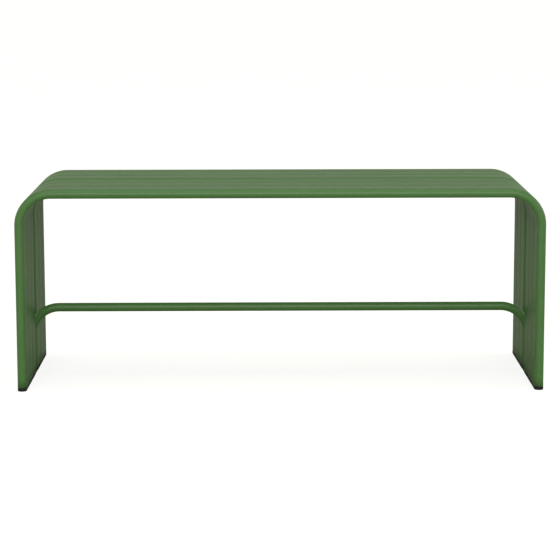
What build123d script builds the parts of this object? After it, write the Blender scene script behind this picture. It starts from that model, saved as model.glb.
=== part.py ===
from build123d import *
import os

# A backless bench of bent tube, in millimetres. The origin is on the floor under the
# middle of the seat, +X runs along the seat, -Y is the front and +Z is up.
# Six flat tube slats run along the seat, bend down at both ends and stand on the floor
# as the legs. They form a front and a rear panel of three slats each. The edges of the
# panels are half-round and the edges inside them have small corners. A round stretcher
# runs between the legs, bends down into the gap between the two panels and stands on
# the floor with them.

# Overall
LENGTH = 1170.0
HEIGHT = 450.0

# Slats
SLAT_WIDTH = 67.0
SLAT_THICKNESS = 20.0
SLAT_CORNER = 3.0
SLAT_BEND_RADIUS = 70.0  # of the slat's centre line
SLAT_GAP = 2.0
TUBE_WALL = 1.5

# Stretcher
STRETCHER_DIAMETER = 20.0
STRETCHER_HEIGHT = 153.0  # of its centre line above the floor
STRETCHER_BEND_RADIUS = 65.0

# Feet, one pressed into each open tube end
FOOT_HEIGHT = 8.0
FOOT_ROUNDING = 1.0
PLUG_DEPTH = 18.0
PLUG_WALL = 2.0
PLUG_CLEARANCE = 0.7
PLUG_CORNER = 0.5  # smallest corner inside the plug
RIB_CLEARANCE = 0.1
RIB_THICKNESS = 1.5
RIB_PITCH = 5.0
RIB_COUNT = 3

# Flat bars welded across the underside of the seat
BAR_WIDTH = 30.0
BAR_THICKNESS = 3.0
BAR_HALF_LENGTH = 180.0
BAR_SPACING = 380.0
BAR_ROUNDING = 4.0

# Spacer tabs welded in the gaps of the legs
TAB_DEPTH = 8.0
TAB_LENGTH = 25.0
TAB_LOW = 45.0  # centre height of the lower row
TAB_HIGH = 235.0  # centre height of the upper row

# Worked out from the sizes above
SLAT_RADIUS = SLAT_THICKNESS / 2
STRETCHER_RADIUS = STRETCHER_DIAMETER / 2
LEG_X = LENGTH / 2 - SLAT_RADIUS
SEAT_Z = HEIGHT - SLAT_RADIUS
MIDDLE_GAP = STRETCHER_DIAMETER + 2 * SLAT_GAP
SLAT_PITCH = SLAT_WIDTH + SLAT_GAP
FIRST_SLAT_Y = (MIDDLE_GAP + SLAT_WIDTH) / 2

ROWS = {"front": -1, "rear": 1}
ENDS = {"left": -1, "right": 1}

# The slats of a panel from the middle of the seat outwards, and which edge is half-round:
# the one towards the middle of the seat is -1, none is 0 and the outer one is 1
ROUND_EDGES = {"inner": -1, "middle": 0, "outer": 1}


def slat_section(inset=0.0):
    """A slat's outline with four small corners, moved in by inset."""
    corner = max(SLAT_CORNER - inset, PLUG_CORNER)
    return RectangleRounded(SLAT_THICKNESS - 2 * inset, SLAT_WIDTH - 2 * inset, corner)


def edge_slat_section(inset=0.0):
    """The same outline with a half-round edge towards +Y, moved in by inset."""
    width = SLAT_WIDTH - 2 * inset
    thickness = SLAT_THICKNESS - 2 * inset
    corner = max(SLAT_CORNER - inset, PLUG_CORNER)
    oval = SlotOverall(width, thickness, rotation=90)
    return oval + Pos(0, -width / 4, 0) * RectangleRounded(thickness, width / 2, corner)


def round_section(inset=0.0):
    """The stretcher's round outline, moved in by inset."""
    return Circle(STRETCHER_RADIUS - inset)


def bent_tube(section, top_z, bend_radius):
    """A tube that stands on both ends: up, along the bench and down again."""
    path = FilletPolyline(
        (-LEG_X, 0, FOOT_HEIGHT),
        (-LEG_X, 0, top_z),
        (LEG_X, 0, top_z),
        (LEG_X, 0, FOOT_HEIGHT),
        radius=bend_radius,
    )
    start = Pos(-LEG_X, 0, FOOT_HEIGHT)
    outside = sweep(start * section(), path)
    return outside - sweep(start * section(TUBE_WALL), path)


def foot(section):
    """A plastic foot: a head under the tube's end and a ribbed hollow plug inside it."""
    head = extrude(section(), FOOT_HEIGHT)
    head = fillet(head.faces().sort_by(Axis.Z)[0].edges(), FOOT_ROUNDING)
    bore = section(TUBE_WALL + PLUG_CLEARANCE + PLUG_WALL)
    plug = extrude(section(TUBE_WALL + PLUG_CLEARANCE) - bore, PLUG_DEPTH)
    rib = extrude(section(TUBE_WALL + RIB_CLEARANCE) - bore, RIB_THICKNESS)
    for number in range(1, RIB_COUNT + 1):
        plug += Pos(0, 0, number * RIB_PITCH) * rib
    return head + Pos(0, 0, FOOT_HEIGHT) * plug


def slat_y(row, number):
    """The middle of a slat, counted from the middle of the seat."""
    return ROWS[row] * (FIRST_SLAT_Y + number * SLAT_PITCH)


def seat_bar():
    """A flat bar with rounded corners that lies against the underside of the slats."""
    outline = RectangleRounded(BAR_WIDTH, 2 * BAR_HALF_LENGTH, BAR_ROUNDING)
    return extrude(outline, BAR_THICKNESS)


def slat_tab():
    """A plate that fills the gap between two slats."""
    return Box(TAB_DEPTH, SLAT_GAP, TAB_LENGTH)


def stretcher_tab():
    """A block between the round sides of the stretcher and of the inner slat at +Y."""
    above = (Align.CENTER, Align.MIN, Align.CENTER)
    slat_round_y = MIDDLE_GAP / 2 + SLAT_RADIUS
    block = Box(TAB_DEPTH, slat_round_y, TAB_LENGTH, align=above)
    block -= Cylinder(STRETCHER_RADIUS, 2 * TAB_LENGTH)
    return block - Pos(0, slat_round_y, 0) * Cylinder(SLAT_RADIUS, 2 * TAB_LENGTH)


def half_turn(direction):
    """Turns a piece made to face +Y round if it has to face -Y."""
    return Rot(0, 0, 180 if direction < 0 else 0)


def slats_and_feet():
    nodes = {}
    for number, (place, round_edge) in enumerate(ROUND_EDGES.items()):
        section = edge_slat_section if round_edge else slat_section
        slat = bent_tube(section, SEAT_Z, SLAT_BEND_RADIUS)
        slat_foot = foot(section)
        for row, face in ROWS.items():
            y = slat_y(row, number)
            turn = half_turn(face * round_edge)
            nodes[f"{row}_{place}_slat"] = Pos(0, y, 0) * turn * slat
            for end, side in ENDS.items():
                nodes[f"{end}_{row}_{place}_foot"] = Pos(side * LEG_X, y, 0) * turn * slat_foot
    return nodes


def stretcher_and_feet():
    nodes = {"stretcher": bent_tube(round_section, STRETCHER_HEIGHT, STRETCHER_BEND_RADIUS)}
    for end, side in ENDS.items():
        nodes[f"{end}_stretcher_foot"] = Pos(side * LEG_X, 0, 0) * foot(round_section)
    return nodes


def seat_bars():
    underside = HEIGHT - SLAT_THICKNESS - BAR_THICKNESS
    places = {"left": -BAR_SPACING, "middle": 0, "right": BAR_SPACING}
    return {f"{place}_seat_bar": Pos(x, 0, underside) * seat_bar() for place, x in places.items()}


def leg_tabs():
    nodes = {}
    first_gap_y = MIDDLE_GAP / 2 + SLAT_WIDTH + SLAT_GAP / 2
    for end, side in ENDS.items():
        for row, face in ROWS.items():
            for number, place in enumerate(("inner", "outer")):
                y = face * (first_gap_y + number * SLAT_PITCH)
                for level, z in {"low": TAB_LOW, "high": TAB_HIGH}.items():
                    name = f"{end}_{row}_{place}_{level}_tab"
                    nodes[name] = Pos(side * LEG_X, y, z) * slat_tab()
    return nodes


def stretcher_tabs():
    nodes = {}
    for end, side in ENDS.items():
        for row, face in ROWS.items():
            placed_tab = Pos(side * LEG_X, 0, TAB_LOW) * half_turn(face) * stretcher_tab()
            nodes[f"{end}_{row}_stretcher_tab"] = placed_tab
    return nodes


def main():
    nodes = slats_and_feet() | stretcher_and_feet() | seat_bars() | leg_tabs() | stretcher_tabs()
    os.makedirs("parts", exist_ok=True)
    for name, shape in nodes.items():
        export_step(shape, f"parts/{name}.step")


main()
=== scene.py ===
import bmesh
import bpy
import math
from mathutils import Matrix, Vector


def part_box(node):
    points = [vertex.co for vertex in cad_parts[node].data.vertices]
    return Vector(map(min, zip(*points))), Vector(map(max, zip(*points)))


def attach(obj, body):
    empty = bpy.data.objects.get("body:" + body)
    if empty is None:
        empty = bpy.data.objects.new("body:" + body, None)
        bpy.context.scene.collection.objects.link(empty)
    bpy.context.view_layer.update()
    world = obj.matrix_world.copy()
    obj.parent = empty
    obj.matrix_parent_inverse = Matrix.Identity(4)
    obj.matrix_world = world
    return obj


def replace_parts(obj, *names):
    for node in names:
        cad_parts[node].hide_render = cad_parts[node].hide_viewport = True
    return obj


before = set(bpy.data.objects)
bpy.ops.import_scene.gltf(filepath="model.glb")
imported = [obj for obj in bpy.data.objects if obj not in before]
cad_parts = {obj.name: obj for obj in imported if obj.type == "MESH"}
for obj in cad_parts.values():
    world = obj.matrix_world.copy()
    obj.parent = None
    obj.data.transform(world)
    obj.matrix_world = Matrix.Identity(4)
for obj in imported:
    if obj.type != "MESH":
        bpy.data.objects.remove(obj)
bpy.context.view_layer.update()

# Tubes, in metres. The frame gives every place; these are the shapes that it can't say.
TUBE_WALL = 0.0015
STRETCHER_LOW, STRETCHER_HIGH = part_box("stretcher")
SLAT_THICKNESS = STRETCHER_HIGH[1] - STRETCHER_LOW[1]  # the stretcher is just as thick
SLAT_CORNER = 0.003
SLAT_BEND_RADIUS = 0.070  # of the tube's centre line
STRETCHER_BEND_RADIUS = 0.065
CORNER_STEPS = 8
HALF_ROUND_STEPS = 40
BEND_STEPS = 48
STRAIGHT_STEP = 0.02  # between the rings of a straight run

# Weld beads
BAR_BEAD_RADIUS = 0.0022
BAR_BEAD_LENGTH = 0.030
GAP_BEAD_RADIUS = 0.0026
TAB_BEAD_DEPTH = 0.0036  # from the face of the slats to the middle of the bead
STRETCHER_BEAD_RADIUS = 0.0032
STRETCHER_BEAD_DEPTH = 0.0046
STRETCHER_BEAD_SIDE = 0.0110  # from the middle of the stretcher
STRETCHER_BEAD_LOW = 0.024  # height of its lower end
BEAD_RIPPLE = 0.0016  # length of one ripple along a bead
BEAD_WAVE = 0.12  # how much a ripple narrows the bead
RINGS_PER_RIPPLE = 4
BEAD_SIDES = 12
BEAD_TIP = 0.05  # of the radius, at the very ends of a bead

# Camera: a long lens in front of the bench, a little above it
CAMERA_PLACE = (-0.0279, -4.7254, 0.9712)
CAMERA_YAW = math.radians(0.34)
CAMERA_PITCH = math.radians(9.09)
CAMERA_ROLL = math.radians(0.115)
CAMERA_LENS_MM = 133.2
SENSOR_MM = 36.0
CAMERA_REACH = 1000.0

# Floor and surroundings
FLOOR_HALF = 200.0
FLOOR_DROP = 0.0002  # just under the feet, so that the two don't flicker
BOUNCE_DROP = 0.0007
WARM_WHITE = (1.0, 0.985, 0.87, 1.0)
FLOOR_GREY = 0.33
FLOOR_GLOW = 0.84
BOUNCE_GREY = 0.5
WALL_TOP = 0.25  # sine of the angle above the horizon at which the walls start to darken
CEILING_EDGE = 0.5  # and at which they have become the ceiling
WALL_STRENGTH = 0.75  # brightness of the walls
CEILING_STRENGTH = 0.10

# Lights
OVERHEAD_STRENGTH = 1.15
OVERHEAD_SPREAD = math.radians(60)
LIGHT_TARGET = (0, 0, 0.3)
AREA_LIGHTS = (  # name, place, size, power in watts
    ("front", (0.0, -4.2, 1.9), (3.4, 1.5), 97),
    ("right", (4.5, -0.4, 2.4), (2.0, 2.0), 44),
    ("left", (-4.5, -0.4, 2.4), (2.0, 2.0), 27),
)

# Powder coat. Texture scales are features for each metre, bump heights are in metres.
GREEN_DEEP = (0.054, 0.154, 0.031)
GREEN = (0.060, 0.166, 0.036)
GREEN_PALE = (0.064, 0.172, 0.039)
COAT_CLOUD_SCALE = 7.0
COAT_FINE_CLOUD_SCALE = 90.0
COAT_PALE_SHARE = 0.35
COAT_ROUGHNESS = (0.44, 0.50)
COAT_SPECULAR = 0.5
PEEL_SCALE = 260.0
PEEL_HEIGHT = 0.0001
GRAIN_SCALE = 1500.0
GRAIN_HEIGHT = 0.00002
COAT_BUMP = 0.5

# Moulded plastic
BLACK = (0.006, 0.006, 0.006)
BLACK_DUSTY = (0.011, 0.011, 0.0105)
DUST_SCALE = 60.0
PLASTIC_ROUGHNESS = (0.58, 0.70)
PLASTIC_SPECULAR = 0.3
PIT_SCALE = 1600.0
PIT_DEPTH = 0.00005
PIT_BUMP = 0.6

# A noise texture's values nearly all lie between these
NOISE_LOW = 0.3
NOISE_HIGH = 0.7


# ---------------------------------------------------------------- camera, lights, floor


def link(obj):
    bpy.context.scene.collection.objects.link(obj)
    return obj


def make_camera():
    data = bpy.data.cameras.new("camera")
    data.lens = CAMERA_LENS_MM
    data.sensor_width = SENSOR_MM
    data.clip_end = CAMERA_REACH
    camera = link(bpy.data.objects.new("camera", data))
    turn = Matrix.Rotation(-CAMERA_YAW, 4, "Z")
    tilt = Matrix.Rotation(math.radians(90) - CAMERA_PITCH, 4, "X")
    roll = Matrix.Rotation(-CAMERA_ROLL, 4, "Z")
    camera.matrix_world = Matrix.Translation(CAMERA_PLACE) @ turn @ tilt @ roll
    bpy.context.scene.camera = camera


def area_light(name, place, size, power):
    data = bpy.data.lights.new(name, "AREA")
    data.shape = "RECTANGLE"
    data.size, data.size_y = size
    data.energy = power
    light = link(bpy.data.objects.new(name, data))
    light.location = place
    light.rotation_euler = (Vector(LIGHT_TARGET) - Vector(place)).to_track_quat("-Z", "Y").to_euler()


def overhead_light():
    """A wide soft light straight above, equally strong all over the floor."""
    data = bpy.data.lights.new("overhead", "SUN")
    data.energy = OVERHEAD_STRENGTH
    data.angle = OVERHEAD_SPREAD
    link(bpy.data.objects.new("overhead", data))


def make_world():
    """Soft grey walls all round under a dark ceiling, with a soft change between them."""
    world = bpy.data.worlds.new("studio")
    world.use_nodes = True
    tree = world.node_tree
    background = tree.nodes["Background"]
    background.inputs["Color"].default_value = WARM_WHITE
    direction = tree.nodes.new("ShaderNodeTexCoord")
    parts = tree.nodes.new("ShaderNodeSeparateXYZ")
    height = tree.nodes.new("ShaderNodeMapRange")
    height.inputs["From Min"].default_value = WALL_TOP
    height.inputs["From Max"].default_value = CEILING_EDGE
    height.inputs["To Min"].default_value = WALL_STRENGTH
    height.inputs["To Max"].default_value = CEILING_STRENGTH
    tree.links.new(direction.outputs["Generated"], parts.inputs["Vector"])
    tree.links.new(parts.outputs["Z"], height.inputs["Value"])
    tree.links.new(height.outputs["Result"], background.inputs["Strength"])
    bpy.context.scene.world = world


def stage_plane(name, height, grey, glow):
    """A wide plain plane that isn't part of the bench."""
    half = FLOOR_HALF
    mesh = bpy.data.meshes.new(name)
    flat_corners = ((-half, -half), (half, -half), (half, half), (-half, half))
    mesh.from_pydata([(x, y, height) for x, y in flat_corners], [], [(0, 1, 2, 3)])
    plane = link(bpy.data.objects.new(name, mesh))
    material = bpy.data.materials.new(name)
    material.use_nodes = True
    shader = material.node_tree.nodes["Principled BSDF"]
    shader.inputs["Base Color"].default_value = (grey, grey, grey * WARM_WHITE[2], 1)
    shader.inputs["Roughness"].default_value = 1.0
    shader.inputs["Specular IOR Level"].default_value = 0.0
    shader.inputs["Emission Color"].default_value = (1.0, 1.0, 1.0, 1)
    shader.inputs["Emission Strength"].default_value = glow
    mesh.materials.append(material)
    return plane


def make_floor():
    """A white floor that only the camera sees, and just under it a grey one that lights the bench."""
    shown = stage_plane("floor", -FLOOR_DROP, FLOOR_GREY, FLOOR_GLOW)
    shown.visible_glossy = False
    shown.visible_diffuse = False
    shown.visible_shadow = False
    bounce = stage_plane("bounce_floor", -BOUNCE_DROP, BOUNCE_GREY, 0.0)
    bounce.visible_camera = False


# ---------------------------------------------------------------- materials


class NodeMaterial:
    """A material and short ways to add and join its nodes."""

    def __init__(self, name):
        self.material = bpy.data.materials.new(name)
        self.material.use_nodes = True
        self.tree = self.material.node_tree
        self.shader = self.tree.nodes["Principled BSDF"]
        self.place = self.tree.nodes.new("ShaderNodeTexCoord").outputs["Object"]

    def join(self, source, target):
        self.tree.links.new(source, target)

    def noise(self, scale, detail):
        node = self.tree.nodes.new("ShaderNodeTexNoise")
        node.inputs["Scale"].default_value = scale
        node.inputs["Detail"].default_value = detail
        self.join(self.place, node.inputs["Vector"])
        return node.outputs["Fac"]

    def speckle(self, scale):
        node = self.tree.nodes.new("ShaderNodeTexVoronoi")
        node.inputs["Scale"].default_value = scale
        self.join(self.place, node.inputs["Vector"])
        return node.outputs["Distance"]

    def between(self, value, low, high):
        """A noise value stretched to run from low to high."""
        node = self.tree.nodes.new("ShaderNodeMapRange")
        node.inputs["From Min"].default_value = NOISE_LOW
        node.inputs["From Max"].default_value = NOISE_HIGH
        node.inputs["To Min"].default_value = low
        node.inputs["To Max"].default_value = high
        self.join(value, node.inputs["Value"])
        return node.outputs["Result"]

    def blend(self, factor, first, second):
        """From the first colour to the second. Each is a tuple or another node's output."""
        node = self.tree.nodes.new("ShaderNodeMix")
        node.data_type = "RGBA"
        self.join(factor, node.inputs["Factor"])
        for socket, colour in (("A_Color", first), ("B_Color", second)):
            target = next(s for s in node.inputs if s.identifier == socket)
            if isinstance(colour, tuple):
                target.default_value = (*colour, 1.0)
            else:
                self.join(colour, target)
        return next(s for s in node.outputs if s.identifier == "Result_Color")

    def bump(self, height, distance, strength, under=None):
        node = self.tree.nodes.new("ShaderNodeBump")
        node.inputs["Distance"].default_value = distance
        node.inputs["Strength"].default_value = strength
        self.join(height, node.inputs["Height"])
        if under is not None:
            self.join(under, node.inputs["Normal"])
        return node.outputs["Normal"]


def powder_coat():
    """Satin green powder coat: a slow orange peel, fine grain and a little mottling."""
    m = NodeMaterial("green_powder_coat")
    peel = m.noise(PEEL_SCALE, 2.0)
    grain = m.noise(GRAIN_SCALE, 1.0)
    cloud = m.noise(COAT_CLOUD_SCALE, 3.0)
    fine_cloud = m.noise(COAT_FINE_CLOUD_SCALE, 3.0)
    colour = m.blend(m.between(cloud, 0.0, 1.0), GREEN_DEEP, GREEN)
    colour = m.blend(m.between(fine_cloud, 0.0, COAT_PALE_SHARE), colour, GREEN_PALE)
    m.join(colour, m.shader.inputs["Base Color"])
    m.join(m.between(fine_cloud, *COAT_ROUGHNESS), m.shader.inputs["Roughness"])
    m.shader.inputs["Specular IOR Level"].default_value = COAT_SPECULAR
    slow = m.bump(peel, PEEL_HEIGHT, COAT_BUMP)
    m.join(m.bump(grain, GRAIN_HEIGHT, COAT_BUMP, slow), m.shader.inputs["Normal"])
    return m.material


def moulded_plastic():
    """Black moulded plastic with a fine spark texture and a little dust in it."""
    m = NodeMaterial("black_plastic")
    pits = m.speckle(PIT_SCALE)
    dust = m.noise(DUST_SCALE, 3.0)
    m.join(m.blend(m.between(dust, 0.0, 1.0), BLACK, BLACK_DUSTY), m.shader.inputs["Base Color"])
    m.join(m.between(dust, *PLASTIC_ROUGHNESS), m.shader.inputs["Roughness"])
    m.shader.inputs["Specular IOR Level"].default_value = PLASTIC_SPECULAR
    m.join(m.bump(pits, PIT_DEPTH, PIT_BUMP), m.shader.inputs["Normal"])
    return m.material


# ---------------------------------------------------------------- meshes


def bridge(bm, first, second):
    """Joins two closed rings of as many points with a band of faces, which it returns."""
    count = len(first)
    faces = []
    for i in range(count):
        j = (i + 1) % count
        faces.append(bm.faces.new((first[i], first[j], second[j], second[i])))
    return faces


def bridge_all(bm, rings):
    """A smooth skin over a row of rings."""
    for first, second in zip(rings, rings[1:]):
        for face in bridge(bm, first, second):
            face.smooth = True


def painted_piece(name, bm):
    """The finished mesh as a piece of the bench, in green powder coat."""
    bmesh.ops.recalc_face_normals(bm, faces=bm.faces)
    mesh = bpy.data.meshes.new(name)
    bm.to_mesh(mesh)
    bm.free()
    mesh.materials.append(green)
    piece = link(bpy.data.objects.new(name, mesh))
    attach(piece, "root")
    return piece


# ---------------------------------------------------------------- bent tubes


def arc(centre, radius, first, last, steps):
    """Points round centre, from the angle first to last in degrees, both ends included."""
    points = []
    for step in range(steps + 1):
        angle = math.radians(first + (last - first) * step / steps)
        points.append((centre[0] + radius * math.cos(angle), centre[1] + radius * math.sin(angle)))
    return points


def slat_outline(width, thickness, corner, round_side):
    """A slat's outline as (across, outwards) points. The edge at round_side is half-round."""
    half_width = width / 2
    half_thickness = thickness / 2
    points = []
    for side in (1, -1):
        turn = 0 if side > 0 else 180
        if side == round_side:
            centre = (side * (half_width - half_thickness), 0)
            points += arc(centre, half_thickness, turn - 90, turn + 90, HALF_ROUND_STEPS)
            continue
        across = side * (half_width - corner)
        outwards = half_thickness - corner
        points += arc((across, -side * outwards), corner, turn - 90, turn, CORNER_STEPS)
        points += arc((across, side * outwards), corner, turn, turn + 90, CORNER_STEPS)
    return points


def round_outline(radius):
    """A whole circle, without a second point where it closes."""
    steps = 2 * HALF_ROUND_STEPS
    return arc((0, 0), radius, 0, 360 - 360 / steps, steps - 1)


def bent_path(half_length, foot_z, top_z, bend_radius):
    """(place, outward direction) along a tube that stands on both ends, in the XZ plane."""
    rows = []
    bend_z = top_z - bend_radius
    bend_x = -half_length + bend_radius
    rise_steps = max(2, round((bend_z - foot_z) / STRAIGHT_STEP))
    for step in range(rise_steps):
        z = foot_z + (bend_z - foot_z) * step / rise_steps
        rows.append(((-half_length, z), (-1.0, 0.0)))
    for step in range(BEND_STEPS + 1):
        angle = math.radians(180 - 90 * step / BEND_STEPS)
        out = (math.cos(angle), math.sin(angle))
        rows.append(((bend_x + bend_radius * out[0], bend_z + bend_radius * out[1]), out))
    run_steps = round(-bend_x / STRAIGHT_STEP)
    for step in range(1, run_steps + 1):
        rows.append(((bend_x * (1 - step / run_steps), top_z), (0.0, 1.0)))
    mirrored = [((-place[0], place[1]), (-out[0], out[1])) for place, out in reversed(rows[:-1])]
    return rows + mirrored


def tube_rings(bm, path, outline, y):
    """The outline as a ring of points at every place of the path."""
    rings = []
    for place, out in path:
        ring = []
        for across, outwards in outline:
            x = place[0] + out[0] * outwards
            z = place[1] + out[1] * outwards
            ring.append(bm.verts.new((x, y + across, z)))
        rings.append(ring)
    return rings


def tube_skin(node_name, outline, inner_outline, bend_radius):
    """A hollow bent tube in place of the CAD node, from its outer and inner outlines."""
    low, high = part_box(node_name)
    half_thickness = max(point[1] for point in outline)
    path = bent_path(high[0] - half_thickness, low[2], high[2] - half_thickness, bend_radius)
    y = (low[1] + high[1]) / 2
    bm = bmesh.new()
    outside = tube_rings(bm, path, outline, y)
    inside = tube_rings(bm, path, inner_outline, y)
    bridge_all(bm, outside)
    bridge_all(bm, inside)
    for end in (0, -1):
        bridge(bm, outside[end], inside[end])
    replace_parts(painted_piece(node_name + "_tube", bm), node_name)


def slat_skin(node_name, round_side):
    """A slat. round_side is 1 or -1 for a half-round edge towards +Y or -Y, and 0 for none."""
    low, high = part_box(node_name)
    width = high[1] - low[1]
    inner_width = width - 2 * TUBE_WALL
    inner_thickness = SLAT_THICKNESS - 2 * TUBE_WALL
    outline = slat_outline(width, SLAT_THICKNESS, SLAT_CORNER, round_side)
    inner = slat_outline(inner_width, inner_thickness, SLAT_CORNER - TUBE_WALL, round_side)
    tube_skin(node_name, outline, inner, SLAT_BEND_RADIUS)


def stretcher_skin():
    radius = SLAT_THICKNESS / 2
    outline = round_outline(radius)
    tube_skin("stretcher", outline, round_outline(radius - TUBE_WALL), STRETCHER_BEND_RADIUS)


# ---------------------------------------------------------------- weld beads


def bead(bm, start, end, radius):
    """A rippled bead with rounded ends, along a straight seam."""
    start = Vector(start)
    end = Vector(end)
    along = (end - start).normalized()
    length = (end - start).length
    side = along.orthogonal().normalized()
    up = along.cross(side)
    count = round(length / BEAD_RIPPLE) * RINGS_PER_RIPPLE
    rings = []
    for ring in range(count + 1):
        distance = length * ring / count
        to_end = min(distance, length - distance)
        cap = math.sqrt(1 - (1 - min(to_end / radius, 1.0)) ** 2)
        wave = 1 - BEAD_WAVE * math.sin(math.pi * ring / RINGS_PER_RIPPLE) ** 2
        size = radius * wave * max(cap, BEAD_TIP)
        centre = start + along * distance
        row = []
        for step in range(BEAD_SIDES):
            angle = 2 * math.pi * step / BEAD_SIDES
            row.append(bm.verts.new(centre + size * (side * math.cos(angle) + up * math.sin(angle))))
        rings.append(row)
    bridge_all(bm, rings)
    bm.faces.new(rings[0])
    bm.faces.new(rings[-1])


def bead_piece(name, seams):
    """One painted piece of several beads. Each seam is (start, end, radius)."""
    bm = bmesh.new()
    for start, end, radius in seams:
        bead(bm, start, end, radius)
    painted_piece(name, bm)


def bar_welds():
    """Short beads along both long edges of each seat bar, one pair under every slat."""
    for place in ("left", "middle", "right"):
        low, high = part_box(f"{place}_seat_bar")
        seams = []
        for row in ("front", "rear"):
            for slat in ("inner", "middle", "outer"):
                slat_low, slat_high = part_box(f"{row}_{slat}_slat")
                slat_sum = slat_low[1] + slat_high[1]
                first = max((slat_sum - BAR_BEAD_LENGTH) / 2, low[1])
                last = min((slat_sum + BAR_BEAD_LENGTH) / 2, high[1])
                for x in (low[0], high[0]):
                    seams.append(((x, first, high[2]), (x, last, high[2]), BAR_BEAD_RADIUS))
        bead_piece(f"{place}_seat_bar_welds", seams)


def tab_welds():
    """A bead in the gap on the inner side of each tab that joins two slats."""
    face = STRETCHER_HIGH[0] - SLAT_THICKNESS
    for end, side in (("left", -1), ("right", 1)):
        seams = []
        for row in ("front", "rear"):
            for place in ("inner", "outer"):
                for level in ("low", "high"):
                    low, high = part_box(f"{end}_{row}_{place}_{level}_tab")
                    x = side * (face + TAB_BEAD_DEPTH)
                    y = (low[1] + high[1]) / 2
                    seams.append(((x, y, low[2]), (x, y, high[2]), GAP_BEAD_RADIUS))
        bead_piece(f"{end}_tab_welds", seams)


def stretcher_welds():
    """Long beads on both sides of the stretcher's ends, inside and outside the legs."""
    top = STRETCHER_HIGH[2] - SLAT_THICKNESS / 2 - STRETCHER_BEND_RADIUS
    outer_face = STRETCHER_HIGH[0]
    inner_face = outer_face - SLAT_THICKNESS
    for end, side in (("left", -1), ("right", 1)):
        seams = []
        for across in (-STRETCHER_BEAD_SIDE, STRETCHER_BEAD_SIDE):
            for x in (inner_face + STRETCHER_BEAD_DEPTH, outer_face - STRETCHER_BEAD_DEPTH):
                start = (side * x, across, STRETCHER_BEAD_LOW)
                seams.append((start, (side * x, across, top), STRETCHER_BEAD_RADIUS))
        bead_piece(f"{end}_stretcher_welds", seams)


# ---------------------------------------------------------------- the scene

make_camera()
make_world()
make_floor()
overhead_light()
for light in AREA_LIGHTS:
    area_light(*light)

green = powder_coat()
black = moulded_plastic()
for name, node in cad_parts.items():
    material = black if name.endswith("_foot") else green
    for slot in node.material_slots:
        slot.material = material

for row, side in (("front", -1), ("rear", 1)):
    for place, round_edge in (("inner", -1), ("middle", 0), ("outer", 1)):
        slat_skin(f"{row}_{place}_slat", side * round_edge)
stretcher_skin()

bar_welds()
tab_welds()
stretcher_welds()

bpy.context.scene.view_settings.view_transform = "Standard"
